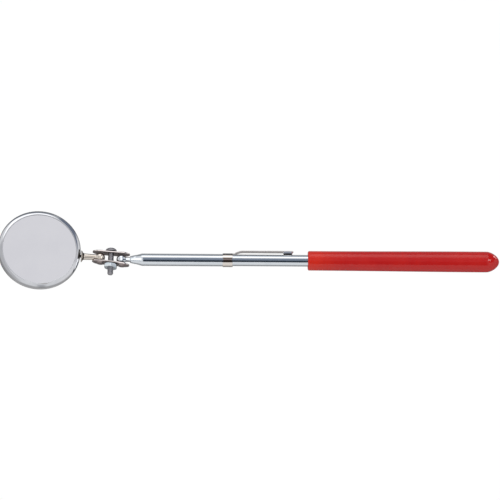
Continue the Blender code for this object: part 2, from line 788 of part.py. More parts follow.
def main():
    clear_scene()
    handle = add_empty("handle_axis")
    clamp = add_empty("clamp_swing_axis", handle, Matrix.Rotation(-CLAMP_YAW, 4, "Z"))
    to_mirror_ball = Matrix.Translation((-BALL_PITCH, 0, 0))
    unyaw = Matrix.Rotation(CLAMP_YAW, 4, "Z")
    pitch = Matrix.Rotation(STUD_PITCH, 4, "Y")
    mirror_joint = add_empty("mirror_swing_axis", clamp, to_mirror_ball @ unyaw @ pitch)
    build_mirror_head(mirror_joint)
    build_mirror_stud(mirror_joint)
    build_clamp(clamp)
    build_handle_ball(handle)
    chrome = material("chromed_tube", (0.70, 0.73, 0.77), 1.0, 0.12)
    brass = material("sleeve_brass", (0.66, 0.50, 0.24), 1.0, 0.35)
    build_front_tube(handle, chrome)
    build_inner_tube(handle, chrome)
    front_outer = FRONT_BORE - 0.05 * MM
    rear_outer = GRIP_TUBE_BORE - 0.1 * MM
    build_sleeve("front_friction_sleeve", FRONT_SLEEVE_START, front_outer, handle, brass)
    build_sleeve("rear_friction_sleeve", REAR_SLEEVE_START, rear_outer, handle, brass)
    build_clip(handle)
    build_grip_tube(handle)
    build_grip(handle)
    stand_on_origin(handle)


main()
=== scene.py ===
"""Looks for the telescoping inspection mirror: finished pieces, materials, stage and camera."""

import json
import math

import bmesh
import bpy
import numpy as np
from mathutils import Matrix, Vector


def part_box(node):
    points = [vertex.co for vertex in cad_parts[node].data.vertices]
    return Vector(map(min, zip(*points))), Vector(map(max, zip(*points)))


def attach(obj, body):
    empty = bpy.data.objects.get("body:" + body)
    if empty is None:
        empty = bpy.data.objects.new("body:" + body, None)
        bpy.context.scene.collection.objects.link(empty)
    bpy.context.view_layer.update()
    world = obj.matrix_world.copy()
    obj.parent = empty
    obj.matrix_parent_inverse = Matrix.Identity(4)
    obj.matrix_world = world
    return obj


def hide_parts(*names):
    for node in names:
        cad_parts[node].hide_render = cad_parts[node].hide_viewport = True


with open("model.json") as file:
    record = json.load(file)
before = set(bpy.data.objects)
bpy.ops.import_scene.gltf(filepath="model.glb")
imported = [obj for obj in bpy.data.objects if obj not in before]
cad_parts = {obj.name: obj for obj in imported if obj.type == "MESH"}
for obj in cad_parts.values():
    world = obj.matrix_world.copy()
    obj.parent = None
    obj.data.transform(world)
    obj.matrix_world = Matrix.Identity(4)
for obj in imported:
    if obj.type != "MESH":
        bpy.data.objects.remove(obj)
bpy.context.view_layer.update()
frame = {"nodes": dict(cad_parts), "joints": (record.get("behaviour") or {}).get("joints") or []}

MM = 0.001
DEGREE = math.pi / 180

# Frames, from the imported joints

JOINTS = {joint["name"]: joint for joint in frame["joints"]}


def frame_at(origin, x_axis, y_axis):
    """A matrix whose X and Y point along the given directions, as near as they allow."""
    x = Vector(x_axis).normalized()
    z = x.cross(Vector(y_axis)).normalized()
    y = z.cross(x)
    turn = Matrix((x, y, z)).transposed().to_4x4()
    return Matrix.Translation(Vector(origin)) @ turn


BALL = Vector(JOINTS["clamp_swing"]["pos_m"])
SWING_AXIS = Vector(JOINTS["clamp_swing"]["axis"])
MIRROR_BALL = Vector(JOINTS["mirror_swing"]["pos_m"])
STUD_AXIS = Vector(JOINTS["mirror_spin"]["axis"])
UP = Vector((0, 0, 1))
HANDLE = Matrix.Translation(BALL)
CLAMP = frame_at((BALL + MIRROR_BALL) / 2, SWING_AXIS.cross(UP), SWING_AXIS)
SCREW_AXIS = Vector(JOINTS["clamp_screw_turn"]["axis"])
SCREW = frame_at(JOINTS["clamp_screw_turn"]["pos_m"], SCREW_AXIS.cross(UP), SCREW_AXIS)
NUT = frame_at(JOINTS["clamp_nut_turn"]["pos_m"], SWING_AXIS.cross(UP), SWING_AXIS)
STUD = frame_at(MIRROR_BALL, -STUD_AXIS, (0, 1, 0))

# Materials


class Paint:
    """Small helper for building one material's nodes."""

    def __init__(self, name, coordinates="rest"):
        self.material = bpy.data.materials.new(name)
        self.material.use_nodes = True
        self.nodes = self.material.node_tree.nodes
        self.links = self.material.node_tree.links
        self.shader = self.nodes["Principled BSDF"]
        if coordinates == "rest":
            rest = self.nodes.new("ShaderNodeAttribute")
            rest.attribute_name = "rest"
            self.coordinates = rest.outputs["Vector"]
        else:
            self.coordinates = self.nodes.new("ShaderNodeTexCoord").outputs[coordinates]

    def link(self, source, target):
        if isinstance(source, bpy.types.NodeSocket):
            self.links.new(source, target)
        else:
            target.default_value = source

    def place(self, axis):
        """One of the piece's own coordinates."""
        node = self.nodes.new("ShaderNodeSeparateXYZ")
        self.links.new(self.coordinates, node.inputs[0])
        return node.outputs[axis]

    def between(self, value, low, high, soft):
        """1 between two values, 0 outside."""
        rise = self.span(value, low - soft, low + soft, 0.0, 1.0)
        return self.math("SUBTRACT", rise, self.span(value, high - soft, high + soft, 0.0, 1.0))

    def stretch(self, scale):
        node = self.nodes.new("ShaderNodeMapping")
        self.links.new(self.coordinates, node.inputs["Vector"])
        node.inputs["Scale"].default_value = scale
        return node.outputs["Vector"]

    def noise(self, scale, detail=3.0, roughness=0.55, stretch=(1, 1, 1)):
        node = self.nodes.new("ShaderNodeTexNoise")
        self.links.new(self.stretch(stretch), node.inputs["Vector"])
        node.inputs["Scale"].default_value = scale
        node.inputs["Detail"].default_value = detail
        node.inputs["Roughness"].default_value = roughness
        return node.outputs["Fac"]

    def voronoi(self, scale):
        node = self.nodes.new("ShaderNodeTexVoronoi")
        self.links.new(self.coordinates, node.inputs["Vector"])
        node.inputs["Scale"].default_value = scale
        return node.outputs["Distance"]

    def rings(self, scale, distortion):
        """Turning marks round Z."""
        node = self.nodes.new("ShaderNodeTexWave")
        node.wave_type = "RINGS"
        node.rings_direction = "Z"
        self.links.new(self.coordinates, node.inputs["Vector"])
        node.inputs["Scale"].default_value = scale
        node.inputs["Distortion"].default_value = distortion
        return node.outputs["Fac"]

    def span(self, value, low, high, out_low, out_high):
        node = self.nodes.new("ShaderNodeMapRange")
        node.interpolation_type = "SMOOTHSTEP"
        self.link(value, node.inputs["Value"])
        for key, number in (
            ("From Min", low),
            ("From Max", high),
            ("To Min", out_low),
            ("To Max", out_high),
        ):
            node.inputs[key].default_value = number
        return node.outputs["Result"]

    def math(self, operation, a, b):
        node = self.nodes.new("ShaderNodeMath")
        node.operation = operation
        self.link(a, node.inputs[0])
        self.link(b, node.inputs[1])
        return node.outputs["Value"]

    def mix(self, share, a, b):
        node = self.nodes.new("ShaderNodeMix")
        node.data_type = "RGBA"
        self.link(share, node.inputs["Factor"])
        self.link((*a, 1) if isinstance(a, tuple) else a, node.inputs["A"])
        self.link((*b, 1) if isinstance(b, tuple) else b, node.inputs["B"])
        return node.outputs["Result"]

    def edges(self, low, high):
        """1 on convex edges, 0 on flats and in hollows."""
        sharpness = self.nodes.new("ShaderNodeNewGeometry").outputs["Pointiness"]
        return self.span(sharpness, low, high, 0.0, 1.0)

    def bump(self, height, strength, distance, below=None):
        node = self.nodes.new("ShaderNodeBump")
        self.link(height, node.inputs["Height"])
        node.inputs["Strength"].default_value = strength
        node.inputs["Distance"].default_value = distance
        if below is not None:
            self.links.new(below, node.inputs["Normal"])
        return node.outputs["Normal"]

    def finish(self, color, roughness, metallic, normal=None, **sockets):
        self.link(color, self.shader.inputs["Base Color"])
        self.link(roughness, self.shader.inputs["Roughness"])
        self.shader.inputs["Metallic"].default_value = metallic
        if normal is not None:
            self.links.new(normal, self.shader.inputs["Normal"])
        for name, value in sockets.items():
            self.shader.inputs[name.replace("_", " ")].default_value = value
        return self.material


def plated(name, color, tint, roughness, lines, coordinates="rest", painted_shade=None):
    """Bright plating over drawn or turned metal.

    lines stretches the fine marks along an axis. The last argument gives the share of a painted
    shade, and its colour.
    """
    p = Paint(name, coordinates)
    pit_share, wear_share = 0.35, 0.35
    pit_shade, wear_shade = 0.55, 1.15
    drawn = p.noise(1.0, 3.0, 0.6, lines)
    cloud = p.noise(160.0, 3.0, 0.5)
    pits = p.span(p.voronoi(900.0), 0.0, 0.1, pit_share, 0.0)
    tone_share = p.math("MULTIPLY", p.edges(0.51, 0.57), wear_share)
    base = p.mix(p.span(cloud, 0.35, 0.7, 0.0, 1.0), color, tint)
    base = p.mix(tone_share, base, tuple(min(1, c * wear_shade) for c in color))
    base = p.mix(pits, base, tuple(c * pit_shade for c in color))
    # Painted shade: a dark colour laid where the surface would be in shade or reflect something dark.
    if painted_shade:
        share, shade_color = painted_shade
        base = p.mix(share(p), base, shade_color)
    rough = p.span(drawn, 0.3, 0.7, roughness * 0.75, roughness * 1.3)
    rough = p.math("ADD", rough, p.span(cloud, 0.4, 0.75, 0.0, 0.03))
    normal = p.bump(drawn, 0.16, 0.00002)
    normal = p.bump(p.noise(220.0, 2.0, 0.5), 0.10, 0.0001, normal)
    return p.finish(base, rough, 1.0, normal)


def foot_shade(p):
    """Painted shade in the stud's flare and behind its flange, but not on the flange's edge."""
    flare_start, flare_end, flange_back = 11.9 * MM, 13.2 * MM, 13.68 * MM
    along = p.place("Z")
    flare = p.between(along, flare_start, flare_end, 0.12 * MM)
    behind = p.span(along, flange_back, flange_back + 0.07 * MM, 0.0, 1.0)
    return p.math("MAXIMUM", flare, behind)


def foot_and_edge_shade(p):
    """Painted shade on the case: a dark reflection round the stud's foot, and lighter shade all round
    the edge.
    """
    patch_left, patch_right = -3.2 * MM, 4.3 * MM
    patch_inside, patch_outside = 27.9 * MM, 28.9 * MM
    rim_inside, rim_outside, rim_share = 28.5 * MM, 29.5 * MM, 0.5
    beside = p.between(p.place("Y"), patch_left, patch_right, 0.5 * MM)
    outward = p.between(p.place("X"), patch_inside, patch_outside, 0.15 * MM)
    squares = [p.math("POWER", p.place(axis), 2.0) for axis in "XY"]
    radius = p.math("SQRT", p.math("ADD", *squares), 0.0)
    rim = p.span(radius, rim_inside, rim_outside, 0.0, rim_share)
    return p.math("MAXIMUM", p.math("MULTIPLY", beside, outward), rim)


def clip_root_shadow(p):
    """Painted shadow beside the clip's root, on the band's upper back."""
    tilt, seam_start, seam_end = 22 * DEGREE, 3.95 * MM, 4.2 * MM
    up = p.math("MULTIPLY", p.place("X"), -math.sin(tilt))
    back = p.math("MULTIPLY", p.place("Y"), math.cos(tilt))
    return p.span(p.math("ADD", up, back), seam_start, seam_end, 0.0, 0.9)


def dimple_shade(p):
    """Painted shade on the lowest part of the clip's dimple, next to the tube."""
    full_shade, no_shade = 4.95 * MM, 5.35 * MM
    dimple_start = 108.0 * MM
    tone_share = p.span(p.place("Y"), full_shade, no_shade, 0.95, 0.0)
    return p.math("MULTIPLY", tone_share, p.span(p.place("X"), dimple_start, dimple_start + 4 * MM, 0.0, 1.0))


def tumbled_nickel():
    p = Paint("tumbled_nickel")
    cloud = p.noise(420.0, 4.0, 0.6)
    fine = p.noise(2600.0, 4.0, 0.65)
    tone_share = p.edges(0.505, 0.56)
    hollow_shade = p.edges(0.495, 0.44)
    base = p.mix(p.span(cloud, 0.35, 0.68, 0.0, 1.0), (0.25, 0.205, 0.20), (0.31, 0.26, 0.255))
    # Convex edges lighter, for wear and a painted highlight; hollows darker, a painted shade.
    base = p.mix(p.math("MULTIPLY", tone_share, 0.75), base, (0.76, 0.70, 0.68))
    base = p.mix(p.math("MULTIPLY", hollow_shade, 0.6), base, (0.09, 0.065, 0.06))
    rough = p.span(fine, 0.3, 0.7, 0.11, 0.18)
    rough = p.math("SUBTRACT", rough, p.math("MULTIPLY", tone_share, 0.08))
    normal = p.bump(fine, 0.12, 0.00002)
    normal = p.bump(cloud, 0.12, 0.00006, normal)
    return p.finish(base, rough, 1.0, normal)


def dark_screw_steel():
    p = Paint("dark_screw_steel")
    cloud = p.noise(700.0, 4.0, 0.6)
    tone_share = p.edges(0.51, 0.60)
    base = p.mix(cloud, (0.19, 0.185, 0.20), (0.34, 0.33, 0.35))
    base = p.mix(p.math("MULTIPLY", tone_share, 0.5), base, (0.58, 0.57, 0.58))
    rough = p.span(cloud, 0.3, 0.7, 0.30, 0.46)
    return p.finish(base, rough, 1.0, p.bump(cloud, 0.2, 0.00004))


def bright_zinc():
    p = Paint("bright_zinc")
    cloud = p.noise(380.0, 3.0, 0.5)
    tone_share = p.edges(0.51, 0.57)
    base = p.mix(p.span(cloud, 0.35, 0.7, 0.0, 1.0), (0.60, 0.68, 0.75), (0.76, 0.79, 0.80))
    base = p.mix(p.math("MULTIPLY", tone_share, 0.6), base, (0.88, 0.90, 0.91))
    rough = p.span(cloud, 0.3, 0.7, 0.09, 0.16)
    return p.finish(base, rough, 1.0, p.bump(p.rings(900.0, 0.4), 0.10, 0.00003))


def silvered_glass():
    p = Paint("silvered_glass")
    haze = p.noise(55.0, 3.0, 0.5)
    speck = p.span(p.voronoi(420.0), 0.0, 0.035, 0.25, 0.0)
    base = p.mix(p.span(haze, 0.3, 0.7, 0.0, 1.0), (0.80, 0.805, 0.835), (0.825, 0.83, 0.855))
    base = p.mix(speck, base, (0.92, 0.92, 0.92))
    rough = p.math("ADD", p.span(haze, 0.3, 0.8, 0.02, 0.05), p.math("MULTIPLY", speck, 0.4))
    normal = p.bump(p.noise(40.0, 2.0, 0.4), 0.02, 0.0001)
    return p.finish(base, rough, 1.0, normal, Coat_Weight=1.0, Coat_Roughness=0.02)


def red_vinyl():
    """Dipped vinyl, a little brighter at the mouth."""
    p = Paint("red_vinyl")
    mouth_end, body_start = 134.0 * MM, 165.0 * MM
    cloud = p.noise(90.0, 3.0, 0.5)
    grain = p.noise(1500.0, 2.0, 0.5)
    drip = p.noise(1.0, 2.0, 0.5, (30.0, 190.0, 190.0))
    tone_share = p.edges(0.505, 0.54)
    mouth = p.span(p.place("Z"), mouth_end, body_start, 1.0, 0.0)
    deep = p.mix(mouth, (0.42, 0.009, 0.009), (0.55, 0.020, 0.010))
    pale = p.mix(mouth, (0.46, 0.012, 0.010), (0.59, 0.026, 0.012))
    base = p.mix(p.span(cloud, 0.3, 0.7, 0.0, 1.0), deep, pale)
    base = p.mix(p.math("MULTIPLY", tone_share, 0.2), base, (0.66, 0.05, 0.03))
    speck = p.span(p.voronoi(240.0), 0.0, 0.05, 0.15, 0.0)
    base = p.mix(speck, base, (0.68, 0.12, 0.08))
    rough = p.math("ADD", p.span(grain, 0.3, 0.7, 0.10, 0.14), p.span(cloud, 0.4, 0.8, 0.0, 0.04))
    normal = p.bump(drip, 0.12, 0.00025)
    normal = p.bump(grain, 0.02, 0.00003, normal)
    return p.finish(base, rough, 0.0, normal, IOR=1.38)


def grey_card():
    p = Paint("grey_card", "Object")
    fibre = p.noise(2200.0, 4.0, 0.7)
    base = p.mix(fibre, (0.20, 0.19, 0.18), (0.36, 0.35, 0.33))
    return p.finish(base, p.span(fibre, 0.3, 0.7, 0.8, 0.95), 0.0, p.bump(fibre, 0.3, 0.00006))


def black_plastic():
    p = Paint("black_plastic", "Object")
    fine = p.noise(1400.0, 3.0, 0.6)
    base = p.mix(fine, (0.035, 0.035, 0.036), (0.06, 0.06, 0.06))
    return p.finish(base, p.span(fine, 0.3, 0.7, 0.45, 0.62), 0.0, p.bump(fine, 0.2, 0.00004))


# Colour of the painted shade that the masks above lay on the plating.
SHADE_PAINT = (0.035, 0.028, 0.024)
DRAWN_ALONG_X = (60.0, 3000.0, 3000.0)
DRAWN_ALONG_Z = (3000.0, 3000.0, 60.0)
CHROME = plated(
    "tube_chrome",
    (0.64, 0.675, 0.71),
    (0.68, 0.71, 0.74),
    roughness=0.085,
    lines=(4200.0, 4200.0, 60.0),
)
CASE_NICKEL = plated(
    "case_nickel",
    (0.60, 0.605, 0.63),
    (0.64, 0.645, 0.665),
    roughness=0.06,
    lines=(500.0, 500.0, 3000.0),
    painted_shade=(foot_and_edge_shade, SHADE_PAINT),
)
BAND_NICKEL = plated(
    "band_nickel",
    (0.70, 0.65, 0.60),
    (0.66, 0.60, 0.55),
    roughness=0.035,
    lines=DRAWN_ALONG_Z,
    painted_shade=(clip_root_shadow, SHADE_PAINT),
)
CLIP_NICKEL = plated(
    "clip_nickel",
    (0.93, 0.885, 0.86),
    (0.87, 0.83, 0.80),
    roughness=0.14,
    lines=DRAWN_ALONG_X,
    painted_shade=(dimple_shade, SHADE_PAINT),
)
STUD_NICKEL = plated(
    "stud_nickel",
    (0.74, 0.68, 0.61),
    (0.68, 0.60, 0.52),
    roughness=0.05,
    lines=DRAWN_ALONG_Z,
    painted_shade=(foot_shade, SHADE_PAINT),
)
BALL_CHROME = plated(
    "ball_chrome",
    (0.68, 0.72, 0.76),
    (0.73, 0.76, 0.79),
    roughness=0.05,
    lines=(200.0, 200.0, 2000.0),
)
DRAWN_STEEL = plated(
    "drawn_steel",
    (0.50, 0.51, 0.53),
    (0.56, 0.57, 0.58),
    roughness=0.30,
    lines=DRAWN_ALONG_X,
    coordinates="Object",
)
BRASS = plated(
    "spring_brass",
    (0.66, 0.50, 0.24),
    (0.58, 0.42, 0.20),
    roughness=0.28,
    lines=(900.0, 900.0, 60.0),
    coordinates="Object",
)
PLATE_NICKEL = tumbled_nickel()
SCREW_STEEL = dark_screw_steel()
ZINC = bright_zinc()
GLASS = silvered_glass()
VINYL = red_vinyl()
CARD = grey_card()
PLASTIC = black_plastic()

# Meshes


def arc(center, radius, start, end, steps):
    """Points on a circle in a profile, from one angle to another in degrees."""
    angles = np.linspace(start, end, steps + 1) * DEGREE
    return [(center[0] + radius * math.cos(a), center[1] + radius * math.sin(a)) for a in angles]


def smooth(points, steps):
    """A Catmull-Rom curve through the points."""
    p = [np.array(point, float) for point in points]
    p = [2 * p[0] - p[1], *p, 2 * p[-1] - p[-2]]
    out = []
    for a, b, c, d in zip(p, p[1:], p[2:], p[3:]):
        square, cube = 2 * a - 5 * b + 4 * c - d, 3 * b - a - 3 * c + d
        for t in np.arange(steps) / steps:
            out.append(tuple(0.5 * (2 * b + (c - a) * t + square * t**2 + cube * t**3)))
    return out + [tuple(p[-2])]


def ease(share):
    """0 to 1, held at both ends, with a soft start and a soft end."""
    share = min(1.0, max(0.0, share))
    return share * share * (3 - 2 * share)


def mm(points):
    return [(a * MM, b * MM) for a, b in points]


def settle(mesh, material, place, body, nodes, sharp=40):
    """Moves a mesh into place, keeping its own coordinates for the materials."""
    rest = np.empty(3 * len(mesh.vertices), np.float32)
    mesh.vertices.foreach_get("co", rest)
    mesh.attributes.new("rest", "FLOAT_VECTOR", "POINT").data.foreach_set("vector", rest)
    mesh.transform(place)
    mesh.shade_smooth()
    mesh.set_sharp_from_angle(angle=sharp * DEGREE)
    mesh.materials.append(material)
    piece = bpy.data.objects.new(mesh.name, mesh)
    bpy.context.scene.collection.objects.link(piece)
    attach(piece, body)
    if nodes:
        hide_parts(*nodes)
    return piece


def add_piece(name, verts, faces, material, place, body, nodes, sharp=40):
    mesh = bpy.data.meshes.new(name)
    mesh.from_pydata([tuple(v) for v in verts], [], faces)
    mesh.validate()
    return settle(mesh, material, place, body, nodes, sharp)


def lathe(profile, segments):
    """A closed (radius, height) outline turned about Z. Points on the axis are shared."""
    verts, rows = [], []
    for radius, height in profile:
        if abs(radius) < 1e-9:
            rows.append([len(verts)] * segments)
            verts.append((0.0, 0.0, height))
            continue
        rows.append(list(range(len(verts), len(verts) + segments)))
        for k in range(segments):
            angle = 2 * math.pi * k / segments
            verts.append((radius * math.cos(angle), radius * math.sin(angle), height))
    faces = []
    for low, high in zip(rows, rows[1:] + rows[:1]):
        if low[0] == low[1] and high[0] == high[1]:
            continue
        for k in range(segments):
            n = (k + 1) % segments
            face = []
            for index in (low[k], low[n], high[n], high[k]):
                if index not in face:
                    face.append(index)
            faces.append(face)
    return verts, faces


def turned(name, profile, segments, material, place, body, nodes, sharp=40):
    verts, faces = lathe(profile, segments)
    return add_piece(name, verts, faces, material, place, body, nodes, sharp)


def around(segments, point):
    """A ring about Z. point gives the radius and the height at an angle, in millimetres."""
    ring = []
    for k in range(segments):
        angle = 2 * math.pi * k / segments
        radius, height = point(angle)
        ring.append((radius * math.cos(angle) * MM, radius * math.sin(angle) * MM, height * MM))
    return ring


def skin(rings, closed=False):
    """Joins rings in their order, and the last to the first if closed."""
    count = len(rings[0])
    verts = [point for ring in rings for point in ring]
    faces = []
    for low in range(len(rings) if closed else len(rings) - 1):
        here, next_ring = low * count, (low + 1) % len(rings) * count
        for k in range(count):
            n = (k + 1) % count
            faces.append((here + k, here + n, next_ring + n, next_ring + k))
    return verts, faces


ALONG_X = Matrix.Rotation(math.pi / 2, 4, "Y")
ALONG_MINUS_X = Matrix.Rotation(-math.pi / 2, 4, "Y")
ALONG_Y = Matrix.Rotation(-math.pi / 2, 4, "X")
ALONG_MINUS_Y = Matrix.Rotation(math.pi / 2, 4, "X")

# Mirror head

BALL_RADIUS = 3.55
STUD_LENGTH = 14.4
STUD_CANT = 5.0
STUD_DEPTH = 2.9
CASE_RADIUS = 29.75
CASE_DEPTH = 6.0
CASE = (
    STUD
    @ Matrix.Translation((-STUD_LENGTH * MM, 0, 0))
    @ Matrix.Rotation(-STUD_CANT * DEGREE, 4, "Z")
    @ Matrix.Translation((-CASE_RADIUS * MM, 0, -STUD_DEPTH * MM))
)


def make_case():
    """A pressed cup whose rim slopes from nearly flat at the glass to steep at the edge."""
    wall = 0.5
    outside = CASE_RADIUS - 0.03
    steep, flat = 54, 78
    curve, edge, heel = 7.5, 0.6, 1.5
    rise = curve * (math.sin(flat * DEGREE) - math.sin(steep * DEGREE))
    edge_center = (outside - edge, CASE_DEPTH - rise - edge * math.sin(steep * DEGREE))
    rim_center = (
        edge_center[0] - (curve - edge) * math.cos(steep * DEGREE),
        edge_center[1] - (curve - edge) * math.sin(steep * DEGREE),
    )
    outer = [(radius, 0.0) for radius in (0.0, 8.0, 16.0, 24.0, 27.6)]
    outer += arc((outside - heel, heel), heel, -86, 0, 10)
    outer += arc(edge_center, edge, 0, steep, 8)[:-1]
    outer += arc(rim_center, curve, steep, flat, 12)
    lip = [(26.52, 5.975), (26.44, 5.91), (26.41, 5.8), (26.41, 5.25), (26.45, 5.18), (26.6, 5.15)]
    inner = arc(rim_center, curve - wall, flat - 2, steep, 6)
    inner += arc((CASE_RADIUS - wall - 1.0, wall + 1.0), 1.0, 0, -90, 6)
    inner += [(20.0, wall), (0.0, wall)]
    profile = mm(outer + lip + inner)
    turned("case", profile, 220, CASE_NICKEL, CASE, "mirror_head", ["mirror_case"], 50)


def make_glass():
    """A flat disc that stands up inside the rim."""
    low, high, radius, sight = 2.1, 5.3, 27.9, 26.38
    profile = [(0.0, low), (26.0, low), (27.5, low), (radius, low + 0.3), (radius, high - 0.9)]
    profile += [(sight, high - 0.5), (sight - 0.01, high - 0.06), (sight - 0.05, high)]
    profile += [(26.25, high), (26.0, high), (20.0, high), (0.0, high)]
    turned(
        "glass", mm(profile), 160, GLASS, CASE, "mirror_head", ["mirror_glass"], 30
    )


def make_stud():
    """A ball and a rod that flares to a flattened foot, with a riveted tail inside the case."""
    foot, tail_radius = STUD_LENGTH - 0.63, 1.0
    widening, widening_run, widening_full = 1.45, 1.6, 1.4
    neck = math.degrees(math.asin(2.05 / BALL_RADIUS))
    rod = [(2.12, 3.1), (2.06, 3.5), (2.08, 4.6), (2.16, 6.5), (2.28, 9.0), (2.36, 11.2), (2.42, 11.9)]
    flare = [(2.5, 12.2), (2.65, 12.6), (2.9, 12.95), (3.05, 13.15), (3.1, foot - 0.2)]
    tail = [(tail_radius, foot), (tail_radius, 15.3), (1.5, 15.3), (1.4, 15.6), (0.0, 15.65)]
    profile = [(0.0, -BALL_RADIUS)] + arc((0, 0), BALL_RADIUS, -88, 84 - neck, 40)
    profile += smooth(rod, 4) + smooth(flare, 4) + [(3.07, foot - 0.03), (3.0, foot)] + tail
    verts, faces = lathe(mm(profile), 72)
    for k, (x, y, z) in enumerate(verts):
        along = z / MM - foot + widening_run
        if 0 < along < widening_run + 0.01 and math.hypot(x, y) > (tail_radius + 0.1) * MM:
            share = min(1.0, along / widening_full)
            verts[k] = (x, y * (1 + (widening - 1) * share), z)
    add_piece(
        "mirror_ball_stud",
        verts,
        faces,
        STUD_NICKEL,
        STUD @ ALONG_MINUS_X,
        "mirror_stud",
        ["mirror_stud"],
        45,
    )


make_case()
make_glass()
make_stud()

# Clamp

BALL_PITCH = 15.4
PLATE_END = 5.9
PLATE_HALF_WIDTH = 3.9
PLATE_THICKNESS = 1.1
PLATE_SQUARENESS = 2.1
CUP_START, CUP_RUN, CUP_INNER_SHARE = 4.7, 2.0, 0.93
# Inner face, opening in degrees, shift, and the cups' bulge at their edge and at their middle
SCREW_SIDE = (3.5, 0.4, 0.0, 0.15, 0.5)
NUT_SIDE = (2.85, 2.0, 0.5, 0.25, 1.15)
SCREW_SHIFT = 0.1
SCREW_CANT = 4.5


def plate_heights(x, y, edge_bulge, middle_bulge):
    """Inner and outer height of a pressed plate at a point, in millimetres."""
    round_over, round_run = 0.24, 0.5
    beyond = max(0.0, abs(x) - BALL_PITCH / 2)
    rise = ease((abs(x) - CUP_START) / CUP_RUN)
    away = math.hypot(abs(x) - BALL_PITCH / 2, y)
    middle = max(0.0, 1 - (away / PLATE_HALF_WIDTH) ** 2)
    bulge = rise * (edge_bulge + middle_bulge * middle)
    out = (beyond / PLATE_END) ** PLATE_SQUARENESS + (abs(y) / PLATE_HALF_WIDTH) ** PLATE_SQUARENESS
    from_edge = PLATE_HALF_WIDTH * (1 - out ** (1 / PLATE_SQUARENESS))
    rounding = round_over * max(0.0, 1 - from_edge / round_run) ** 2
    return CUP_INNER_SHARE * bulge + rounding * 0.6, PLATE_THICKNESS + bulge - rounding


def make_plate(name, side, plate, node):
    """A polar grid round each cup, joined to a bar with round ends."""
    seat, splay, shift, edge_bulge, middle_bulge = plate
    cant = math.tan(SCREW_CANT * DEGREE)
    hole_x = SCREW_SHIFT - shift - side * (seat + PLATE_THICKNESS / 2) * cant
    hole_radius, lip_radius = 2.45, 2.65
    cup_radii = (0.3, 0.7, 1.1, 1.5, 1.9, 2.3, 2.7, 3.0, 3.2)
    center = BALL_PITCH / 2
    bm = bmesh.new()

    def ring(x0, radius, count):
        made = []
        for k in range(count):
            angle = 2 * math.pi * k / count
            made.append(bm.verts.new((x0 + radius * math.cos(angle), radius * math.sin(angle), 0)))
        return made

    def pairs(loop):
        return list(zip(loop, loop[1:] + loop[:1]))

    def band(inside, outside):
        for (a, b), (c, d) in zip(pairs(inside), pairs(outside)):
            bm.faces.new((a, c, d, b))

    def outline(inset):
        end, half = PLATE_END - inset, PLATE_HALF_WIDTH - inset
        power = 2 / PLATE_SQUARENESS
        points = []
        for x, y in arc((0, 0), 1.0, -90, 90, 32):
            x, y = abs(x) ** power, math.copysign(abs(y) ** power, y)
            points.append((center + end * x, half * y))
        for k in range(1, 16):
            points.append((center - BALL_PITCH * k / 16, half))
        points += [(-x, -y) for x, y in points]
        return [bm.verts.new((x, y, 0)) for x, y in points]

    loops = [outline(inset) for inset in (0.0, 0.05, 0.14, 0.28, 0.5)]
    for outer, inner in zip(loops, loops[1:]):
        band(inner, outer)
    edges = [bm.edges.get(pair) or bm.edges.new(pair) for pair in pairs(loops[-1])]
    hole = ring(hole_x, hole_radius, 40)
    lip = ring(hole_x, lip_radius, 40)
    band(hole, lip)
    edges += [bm.edges.get(pair) for pair in pairs(lip)]
    for x0 in (-center, center):
        middle = bm.verts.new((x0, 0.0, 0.0))
        inside = None
        for radius in cup_radii:
            points = ring(x0, radius, 56)
            if inside:
                band(inside, points)
            else:
                for a, b in pairs(points):
                    bm.faces.new((a, b, middle))
            inside = points
        edges += [bm.edges.get(pair) for pair in pairs(inside)]
    bmesh.ops.triangle_fill(bm, use_beauty=True, use_dissolve=False, edges=edges)
    bmesh.ops.recalc_face_normals(bm, faces=bm.faces)
    inner_verts = list(bm.verts)
    outer = bmesh.ops.extrude_face_region(bm, geom=list(bm.faces), use_keep_orig=True)
    raised = {item for item in outer["geom"] if isinstance(item, bmesh.types.BMVert)}
    for vert in inner_verts + list(raised):
        low, high = plate_heights(vert.co.x, vert.co.y, edge_bulge, middle_bulge)
        vert.co.z = high if vert in raised else low
        vert.co *= MM
    bmesh.ops.recalc_face_normals(bm, faces=bm.faces)
    mesh = bpy.data.meshes.new(name)
    bm.to_mesh(mesh)
    bm.free()
    opened = Matrix.Rotation(side * splay * DEGREE, 4, "Z")
    stand_up = Matrix.Rotation(-side * math.pi / 2, 4, "X")
    place = CLAMP @ Matrix.Translation((shift * MM, 0, 0)) @ opened @ stand_up
    place = place @ Matrix.Translation((0, 0, seat * MM))
    settle(mesh, PLATE_NICKEL, place, "clamp", [node], 50)


make_plate("screw_side_plate", 1, SCREW_SIDE, "clamp_plate_screw_side")
make_plate("nut_side_plate", -1, NUT_SIDE, "clamp_plate_nut_side")

THREAD_PITCH = 0.79
SCREW_SEAT = SCREW_SIDE[0] + PLATE_THICKNESS + 0.5
SCREW_END = -12.4


